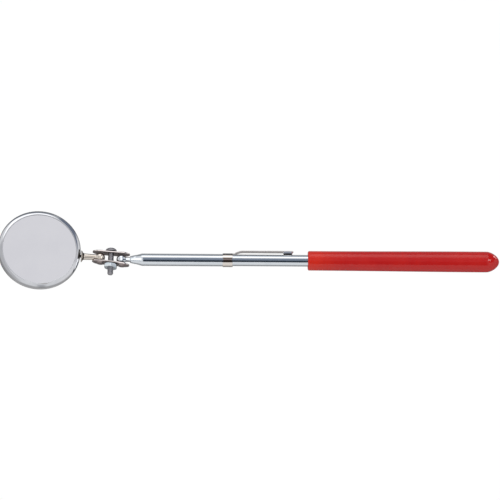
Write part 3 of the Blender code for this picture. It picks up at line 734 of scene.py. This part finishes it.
def make_screw():
    """A shank with a rolled thread, under a domed head with a cross recess."""
    major, minor, tip_radius = 2.08, 1.96, 1.6
    runout, point_length, tip_hollow = 0.5, 0.7, 0.12
    dome_height, dome_radius, dome_drop, recess_floor = 2.78, 2.2, 0.25, 1.2
    segments, per_pitch = 64, 8
    length = SCREW_SEAT - SCREW_END
    rows = int(length / THREAD_PITCH * per_pitch)

    def thread(angle, height):
        """The shank's radius. Each turn of the helix shifts the tooth by one pitch."""
        fade = min(1.0, max(0.0, (SCREW_SEAT - runout - height) / runout))
        phase = (height / THREAD_PITCH + angle / (2 * math.pi)) % 1.0
        tooth = fade * max(0.0, min(1.0, 1.5 - 4.0 * abs(phase - 0.5)))
        point = tip_radius + (major - tip_radius) * (height - SCREW_END) / point_length
        return min(minor + (major - minor) * tooth, point)

    def recess(angle, share, depth):
        """A point of the cross recess, or of its edge where the depth is 0."""
        cross = abs(math.cos(2 * angle)) ** 5
        radius = dome_radius * share if depth == 0.0 else (0.5 + 1.55 * cross) * share * 1.15
        return radius, SCREW_SEAT + dome_height - dome_drop * (radius / dome_radius) ** 2 - depth

    rings = []
    for row in range(rows + 1):
        height = SCREW_END + length * row / rows
        rings.append(around(segments, lambda angle: (thread(angle, height), height)))
    head = [(2.6, 0.0), (3.7, 0.0), (3.95, 0.08), (4.05, 0.3)]
    head += smooth([(4.05, 0.7), (4.0, 1.1), (3.69, 1.68), (2.95, 2.25), (dome_radius, 2.54)], 4)
    for radius, rise in head:
        rings.append(around(segments, lambda angle: (radius, SCREW_SEAT + rise)))
    for share, depth in ((0.88, 0.0), (0.70, 1.0), (0.25, 1.35)):
        rings.append(around(segments, lambda angle: recess(angle, share, depth)))
    verts, faces = skin(rings)
    last = len(verts) - segments
    tip, floor = len(verts), len(verts) + 1
    verts += [(0, 0, (SCREW_END + tip_hollow) * MM), (0, 0, (SCREW_SEAT + recess_floor) * MM)]
    for k in range(segments):
        n = (k + 1) % segments
        faces.append((tip, n, k))
        faces.append((last + k, last + n, floor))
    place = SCREW @ ALONG_Y
    add_piece("screw", verts, faces, SCREW_STEEL, place, "clamp_screw", ["clamp_screw"], 60)


NUT_THICKNESS = 2.8
NUT_FLATS = 8.73


def make_nut():
    """A hexagon whose corners are cut back by a cone on both faces, with a threaded bore."""
    segments, thread_rows = 144, 24
    bore, thread_depth, countersink, bearing = 2.1, 0.28, 0.3, 3.2
    apothem = NUT_FLATS / 2
    corner = apothem / math.cos(math.pi / 6) - 0.06
    face_radius = apothem - 0.12
    rings = []

    def chamfered(angle, height):
        """The hexagon, the cone that cuts its corners back, or the rounded corner."""
        part = (angle + math.pi / 6) % (math.pi / 3) - math.pi / 6
        from_face = min(height, NUT_THICKNESS - height)
        cone = face_radius + 0.06 + (from_face - 0.02) * 1.75
        return min(apothem / math.cos(part), cone, corner)

    def threaded(angle, height):
        phase = (height / THREAD_PITCH + angle / (2 * math.pi)) % 1.0
        return bore + thread_depth * min(1.0, max(0.0, 4 * abs(phase - 0.5) - 0.5))

    def add(radius_at, height):
        rings.append(around(segments, lambda angle: (radius_at(angle, height), height)))

    face = [(bore + countersink, 0.0), (bearing, 0.0), (face_radius - 0.25, 0.0), (face_radius, 0.02)]
    for radius, inset in face:
        add(lambda angle, height: radius, inset)
    for height in (0.12, 0.3, 0.5, 0.75, 1.0, 1.4, 1.8, 2.05, 2.3, 2.5, 2.68):
        add(chamfered, height)
    for radius, inset in reversed(face):
        add(lambda angle, height: radius, NUT_THICKNESS - inset)
    for step in range(1, thread_rows):
        add(threaded, NUT_THICKNESS * (1 - step / thread_rows))
    verts, faces = skin(rings, closed=True)
    place = NUT @ ALONG_MINUS_Y @ Matrix.Translation((0, 0, -NUT_THICKNESS / 2 * MM))
    add_piece("nut", verts, faces, ZINC, place, "clamp_nut", ["clamp_nut"], 25)


make_screw()
make_nut()

# Handle


def span_of(node):
    """Start, end and radius of a piece of the handle, in millimetres from the ball along the line."""
    low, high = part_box(node)
    start, end = ((corner[0] - BALL.x) / MM for corner in (low, high))
    return round(start, 1), round(end, 1), round((high[2] - low[2]) / 2 / MM, 2)


FRONT_START, FRONT_MOUTH, FRONT_RADIUS = span_of("front_tube")
INNER_START, INNER_END, INNER_RADIUS = span_of("inner_tube")
CLIP_START, CLIP_TIP, BAND_RADIUS = span_of("pocket_clip")
GRIP_MOUTH, GRIP_END, GRIP_RADIUS = span_of("grip")


def make_handle_ball():
    """A ball on a shank that is held in the front tube's nose."""
    shank, end = 1.7, 16.0
    neck = math.degrees(math.asin(shank / BALL_RADIUS))
    profile = [(0.0, -BALL_RADIUS)] + arc((0, 0), BALL_RADIUS, -88, 86 - neck, 40)
    profile += smooth([(shank + 0.08, 3.3), (shank, 3.7), (shank, 5.5), (shank, 9.2)], 3)
    profile += [(2.3, 10.2), (2.6, 13.2), (2.6, end - 0.5), (2.2, end), (0.0, end)]
    turned(
        "handle_ball",
        mm(profile),
        72,
        BALL_CHROME,
        HANDLE @ ALONG_X,
        "handle_ball",
        ["handle_ball_stud"],
        45,
    )


def make_front_tube():
    """A tube with a spun nose that closes in on the ball's shank."""
    wall, bore = 0.3, 4.26
    nose_end, bore_start, straight_start = 14.9, 15.7, 17.0
    nose = [(2.36, 6.42), (2.62, 7.3), (3.0, 8.8), (3.4, 11.0), (3.9, 13.0), (4.34, 14.4)]
    nose = smooth(nose + [(FRONT_RADIUS, nose_end)], 5)
    outer = [(2.12, FRONT_START), (2.26, FRONT_START + 0.02)] + nose
    outer += [(FRONT_RADIUS, s) for s in np.linspace(straight_start, FRONT_MOUTH - 0.15, 60)]
    outer += [(FRONT_RADIUS - 0.05, FRONT_MOUTH - 0.04), (FRONT_RADIUS - 0.12, FRONT_MOUTH)]
    inner = [(INNER_RADIUS + 0.03, FRONT_MOUTH), (INNER_RADIUS + 0.03, FRONT_MOUTH - 0.4)]
    inner += [(bore, FRONT_MOUTH - 1.0), (bore, bore_start)]
    inner += [(radius - wall, s) for radius, s in reversed(nose[:-2])]
    turned(
        "front_chrome_tube",
        mm(outer + inner),
        96,
        CHROME,
        HANDLE @ ALONG_X,
        "front_tube",
        ["front_tube"],
        50,
    )


def make_inner_tube():
    """A tube with a groove near each end, where the friction sleeves sit in a thicker wall."""
    groove_depth, groove_length, groove_wall = 0.55, 8.5, 0.3
    front_groove, rear_groove = 20.25, 231.75
    bore, thick_bore, step = 3.77, 3.22, 1.0
    thick_front_end, thick_rear_start = 30.0, 230.0

    def groove(start):
        end, floor = start + groove_length, INNER_RADIUS - groove_depth
        down = [(INNER_RADIUS, start - groove_wall), (floor, start)]
        return down + [(floor, end), (INNER_RADIUS, end + groove_wall)]

    outer = [(INNER_RADIUS - 0.2, INNER_START), (INNER_RADIUS, INNER_START + 0.2)]
    outer += groove(front_groove)
    outer += [(INNER_RADIUS, s) for s in np.linspace(thick_front_end + 2.0, thick_rear_start, 120)]
    outer += groove(rear_groove)
    outer += [(INNER_RADIUS, INNER_END - 0.2), (INNER_RADIUS - 0.2, INNER_END)]
    inner = [(thick_bore, INNER_END), (thick_bore, thick_rear_start), (bore, thick_rear_start - step)]
    inner += [(bore, thick_front_end + step), (thick_bore, thick_front_end), (thick_bore, INNER_START)]
    turned(
        "inner_chrome_tube",
        mm(outer + inner),
        96,
        CHROME,
        HANDLE @ ALONG_X,
        "inner_tube",
        ["inner_tube"],
        50,
    )


def make_clip_band():
    """The clip's band round the mouth of the front tube."""
    bore = 4.58
    first = [(bore, 0.0), (BAND_RADIUS - 0.13, 0.0), (BAND_RADIUS - 0.03, 0.05), (BAND_RADIUS, 0.2)]
    profile = [(radius, CLIP_START + inset) for radius, inset in first]
    profile += [(BAND_RADIUS, s) for s in np.linspace(CLIP_START + 0.6, FRONT_MOUTH - 0.6, 8)]
    profile += [(radius, FRONT_MOUTH - inset) for radius, inset in reversed(first)]
    place = HANDLE @ ALONG_X
    turned(
        "clip_band", mm(profile), 96, BAND_NICKEL, place, "front_tube", ["pocket_clip"], 50
    )


TONGUE_HEIGHT = 6.65
TONGUE_HALF_WIDTH = 2.0
TONGUE_THICKNESS = 0.5


def tongue_half_width(x):
    """Half the tongue's width, parallel up to a round end."""
    from_tip = CLIP_TIP - x
    if from_tip >= TONGUE_HALF_WIDTH:
        return TONGUE_HALF_WIDTH
    round_end = math.sqrt(max(0.0, 1 - (1 - from_tip / TONGUE_HALF_WIDTH) ** 2))
    return TONGUE_HALF_WIDTH * round_end * 0.97 + 0.06


def dimple_depth(x, z):
    """How far the dimple near the tip is pressed towards the tube."""
    center, depth, half_length, half_width, wall = 120.4, 2.05, 3.85, 1.85, 0.27
    away = ((abs(x - center) / half_length) ** 3 + (abs(z) / half_width) ** 3) ** (1 / 3)
    return depth * ease((1 - away) / wall)


def make_clip_tongue():
    """A strip that rises from the band, runs along the tube and ends in a pressed dimple."""
    root, band_top, columns = 4.83, 5.2, 25
    rise = [(-2.4, root), (-0.6, root), (0.8, 4.9), (2.0, 5.2), (3.4, 5.75), (5.0, 6.32), (6.6, 6.6)]
    level = (89.3, 100.0, 110.0, 115.5, 116.5, 117.5, 118.5, 120.4, 122.3)
    points = [(FRONT_MOUTH + s, height) for s, height in rise]
    points += [(s, TONGUE_HEIGHT) for s in level]
    points += [(CLIP_TIP - 1.2, TONGUE_HEIGHT + 0.02), (CLIP_TIP, TONGUE_HEIGHT + 0.1)]
    path = smooth(points, 6)
    across = np.linspace(-1.0, 1.0, columns)
    rings = []
    for index, (x, y) in enumerate(path):
        before = np.array(path[max(index - 1, 0)])
        after = np.array(path[min(index + 1, len(path) - 1)])
        along = (after - before) / np.linalg.norm(after - before)
        half = tongue_half_width(x)
        ring = []
        for side, shares in ((1, across), (-1, across[::-1])):
            offset = np.array((-along[1], along[0])) * side * TONGUE_THICKNESS / 2
            for share in shares:
                z = half * share
                lift = math.sqrt(max(0.0, y**2 - z**2)) - y if y < band_top else 0.0
                height = y + offset[1] + lift - dimple_depth(x, z)
                ring.append(((x + offset[0]) * MM, height * MM, z * MM))
        rings.append(ring)
    verts, faces = skin(rings)
    last = len(verts) - 2 * columns
    for k in range(1, columns):
        end = (k, k - 1, 2 * columns - k, 2 * columns - 1 - k)
        faces.append(end)
        faces.append(tuple(last + index for index in reversed(end)))
    tongue = add_piece(
        "clip_tongue", verts, faces, CLIP_NICKEL, HANDLE, "front_tube", [], 50
    )
    bevel = tongue.modifiers.new("soft edges", "BEVEL")
    bevel.width = 0.09 * MM
    bevel.segments = 2
    bevel.limit_method = "ANGLE"


# Distance back from the grip's end, and radius there
GRIP_NOSE = (
    (12.0, 7.5),
    (10.0, 7.49),
    (8.4, 7.42),
    (7.0, 7.1),
    (5.6, 6.6),
    (4.3, 5.9),
    (3.1, 5.1),
    (2.0, 4.15),
    (1.1, 3.1),
    (0.45, 2.0),
    (0.1, 0.95),
    (0.0, 0.0),
)


def make_grip():
    """A dipped sleeve that widens a little towards its round nose."""
    mouth_radius, round_over = 7.05, 1.1
    bore, lip_bore, bore_start, bore_end = 5.2, 4.6, 136.2, 264.0
    body_start, body_end = GRIP_MOUTH + round_over, GRIP_END - 14.0
    outer = [(lip_bore, GRIP_MOUTH + 0.25), (4.75, GRIP_MOUTH + 0.05), (5.0, GRIP_MOUTH)]
    outer += arc((mouth_radius - round_over, body_start), round_over, -88, 0, 9)
    for share in np.linspace(0.0, 1.0, 90)[1:]:
        radius = mouth_radius + (GRIP_RADIUS - mouth_radius) * ease(share)
        outer.append((radius, body_start + share * (body_end - body_start)))
    outer += smooth([(radius, GRIP_END - back) for back, radius in GRIP_NOSE], 5)
    inner = [(0.0, bore_end), (bore, bore_end), (bore, bore_start), (lip_bore, bore_start)]
    place = HANDLE @ ALONG_X
    turned("vinyl_grip", mm(outer + inner), 128, VINYL, place, "grip", ["grip"], 40)


make_handle_ball()
make_front_tube()
make_inner_tube()
make_clip_band()
make_clip_tongue()
make_grip()

# Hidden pieces keep their CAD meshes


def repaint(node, material):
    target = frame["nodes"][node]
    target.data.materials.clear()
    target.data.materials.append(material)


repaint("mirror_backing_pad", CARD)
repaint("front_friction_sleeve", BRASS)
repaint("rear_friction_sleeve", BRASS)
repaint("grip_tube", DRAWN_STEEL)
repaint("grip_tube_plug", PLASTIC)

# Stage


def make_floor():
    """A pale floor, brighter in front; its glow drops near the object as a painted contact shadow and
    stays low behind it. It only lights the object, so it can't hide a low piece.
    """
    half = 4.0
    bright_until, dark_from = -34 * MM, -12 * MM
    mesh = bpy.data.meshes.new("floor")
    corners = [(-half, -half, 0), (half, -half, 0), (half, half, 0), (-half, half, 0)]
    mesh.from_pydata(corners, [], [(0, 1, 2, 3)])
    floor = bpy.data.objects.new("floor", mesh)
    bpy.context.scene.collection.objects.link(floor)
    p = Paint("pale_floor", "Object")
    base = p.mix(p.noise(9.0, 3.0, 0.5), (0.29, 0.29, 0.29), (0.31, 0.31, 0.31))
    p.finish(base, 0.9, 0.0, None, Emission_Color=(1, 1, 1, 1), Specular_IOR_Level=0.0)
    # Painted contact shadow: the floor's glow falls off towards the object's line.
    glow = p.span(p.place("Y"), bright_until, dark_from, 0.60, 0.12)
    p.link(glow, p.shader.inputs["Emission Strength"])
    p.material.cycles.emission_sampling = "NONE"
    mesh.materials.append(p.material)
    floor.visible_camera = False


# (low, high, soft, left, right, side soft, colour): angles in degrees, low and high from the
# front horizon over the top, left and right from the middle
STUDIO_PANELS = (
    (45, 100, 8, 38, 68, 6, (1.0, 1.0, 1.01)),
    (106, 121, 3, -60, 60, 10, (0.78, 0.775, 0.80)),
    (121, 153, 3, -21, 17, 3, (1.75, 1.76, 1.78)),
    (155, 188, 4, -70, 20, 8, (0.30, 0.325, 0.36)),
    (122, 185, 5, 21, 46, 4, (0.22, 0.25, 0.32)),
    (60, 118, 5, -60, -13, 5, (0.66, 0.665, 0.68)),
    (30, 70, 5, 10, 21, 4, (0.60, 0.61, 0.63)),
    (79, 93, 2, 15, 21, 2, (0.36, 0.31, 0.27)),
)
TENT_COLOR = (0.95, 0.96, 0.97)
BACKDROP_WHITE = (1.01, 1.01, 1.01)


def make_studio():
    """A pale tent with brighter and darker panels, and a white backdrop for the camera."""
    world = bpy.data.worlds.new("studio")
    bpy.context.scene.world = world
    world.use_nodes = True
    nodes, links = world.node_tree.nodes, world.node_tree.links
    split = nodes.new("ShaderNodeSeparateXYZ")
    links.new(nodes.new("ShaderNodeTexCoord").outputs["Generated"], split.inputs[0])

    def join(source, target):
        if isinstance(source, bpy.types.NodeSocket):
            links.new(source, target)
        else:
            target.default_value = source

    def calc(operation, a, b=0.0):
        node = nodes.new("ShaderNodeMath")
        node.operation = operation
        join(a, node.inputs[0])
        join(b, node.inputs[1])
        return node.outputs[0]

    def mix(share, a, b):
        node = nodes.new("ShaderNodeMix")
        node.data_type = "RGBA"
        for value, target in ((share, "Factor"), (a, "A"), (b, "B")):
            join((*value, 1) if isinstance(value, tuple) else value, node.inputs[target])
        return node.outputs["Result"]

    def step_up(value, at, soft):
        node = nodes.new("ShaderNodeMapRange")
        node.interpolation_type = "SMOOTHSTEP"
        links.new(value, node.inputs["Value"])
        node.inputs["From Min"].default_value = at - soft
        node.inputs["From Max"].default_value = at + soft
        return node.outputs[0]

    def between(value, low, high, soft):
        return calc("SUBTRACT", step_up(value, low, soft), step_up(value, high, soft))

    front = calc("MULTIPLY", split.outputs["Y"], -1.0)
    height = calc("MULTIPLY", calc("ARCTAN2", split.outputs["Z"], front), 1 / DEGREE)
    side = calc("MULTIPLY", calc("ARCSINE", split.outputs["X"]), 1 / DEGREE)
    color = TENT_COLOR
    for low, high, soft, left, right, side_soft, panel in STUDIO_PANELS:
        over = between(height, low, high, soft)
        color = mix(calc("MULTIPLY", over, between(side, left, right, side_soft)), color, panel)
    seen = nodes.new("ShaderNodeLightPath").outputs["Is Camera Ray"]
    links.new(mix(seen, color, BACKDROP_WHITE), nodes["Background"].inputs["Color"])


# (name, distance from the handle's line, low, high, left, right, colour): lengths in millimetres,
# left and right from the ball, and angles as for the panels
STUDIO_CARDS = (
    ("dark_card_low", 30, 35, 69, 11.7, 268, (0.04, 0.052, 0.07)),
    ("dark_card_high", 30, 69, 104, 11.7, 268, (0.26, 0.30, 0.37)),
    ("rod_line_card", 6, 41, 58, -28.5, -19.5, (0.08, 0.06, 0.05)),
    ("nose_card", 20, 51, 106, -5, 9.8, (1.60, 1.62, 1.64)),
    ("nose_line_card", 20, 40, 49, -8, 9.8, (0.12, 0.14, 0.17)),
    ("collar_card_low", 12.5, 39, 72, 73.7, 80.1, (0.031, 0.023, 0.022)),
    ("collar_card_middle", 12.5, 72, 86, 73.7, 80.1, (0.31, 0.28, 0.29)),
    ("collar_card_high", 12.5, 86, 98, 73.7, 80.1, (0.13, 0.10, 0.085)),
    ("tip_card", 66, 81, 99, 276, 323, (6.5, 6.5, 6.7)),
    ("tip_back_card", 50, 168, 186, 312, 356, (8.0, 8.0, 8.1)),
    ("tip_dark_card", 72, 62, 176, 286, 420, (0.06, 0.06, 0.07)),
)


def make_card(name, reach, low, high, left, right, color):
    """A curved card about the handle's line. Only reflections see it."""
    steps = 24
    verts, faces = [], []
    for k, angle in enumerate(np.linspace(low, high, steps + 1) * DEGREE):
        y = BALL.y - reach * MM * math.cos(angle)
        z = BALL.z + reach * MM * math.sin(angle)
        verts += [(BALL.x + left * MM, y, z), (BALL.x + right * MM, y, z)]
        if k:
            faces.append((2 * k - 2, 2 * k - 1, 2 * k + 1, 2 * k))
    mesh = bpy.data.meshes.new(name)
    mesh.from_pydata(verts, [], faces)
    card = bpy.data.objects.new(name, mesh)
    bpy.context.scene.collection.objects.link(card)
    p = Paint(name, "Object")
    glow = p.nodes.new("ShaderNodeEmission")
    glow.inputs["Color"].default_value = (*color, 1)
    p.links.new(glow.outputs[0], p.nodes["Material Output"].inputs["Surface"])
    p.material.cycles.emission_sampling = "NONE"
    mesh.materials.append(p.material)
    card.visible_camera = False
    card.visible_diffuse = False
    card.visible_shadow = False
    card.visible_transmission = False


def make_light():
    """A large soft light from above the back, for the floor and the vinyl."""
    place, aim = Vector((0.1, 0.75, 1.5)), Vector((0, 0, 0))
    data = bpy.data.lights.new("softbox", "AREA")
    data.shape = "RECTANGLE"
    data.size, data.size_y = 1.6, 1.0
    data.energy = 9.0
    light = bpy.data.objects.new("softbox", data)
    bpy.context.scene.collection.objects.link(light)
    light.location = place
    light.rotation_euler = (aim - place).to_track_quat("-Z", "Y").to_euler()
    light.visible_glossy = False


def make_camera():
    """A long lens from the front and high above, with the ball left of and below the middle."""
    elevation, roll = 68 * DEGREE, 0.40 * DEGREE
    frame_width, lens, sensor = 361.5 * MM, 150.0, 36.0
    ball_left, ball_below = 93.05 * MM, 6.87 * MM
    back = Vector((0, -math.cos(elevation), math.sin(elevation)))
    right = Vector((1, 0, 0))
    up = back.cross(right)
    rolled_right = right * math.cos(roll) + up * math.sin(roll)
    rolled_up = up * math.cos(roll) - right * math.sin(roll)
    target = BALL + rolled_right * ball_left + rolled_up * ball_below
    distance = frame_width * lens / sensor
    data = bpy.data.cameras.new("camera")
    data.lens, data.sensor_width = lens, sensor
    data.clip_start, data.clip_end = 0.01, 50.0
    camera = bpy.data.objects.new("camera", data)
    bpy.context.scene.collection.objects.link(camera)
    turn = Matrix((rolled_right, rolled_up, back)).transposed().to_4x4()
    camera.matrix_world = Matrix.Translation(target + back * distance) @ turn
    bpy.context.scene.camera = camera


make_floor()
make_studio()
for card in STUDIO_CARDS:
    make_card(*card)
make_light()
make_camera()
bpy.context.scene.view_settings.view_transform = "Standard"
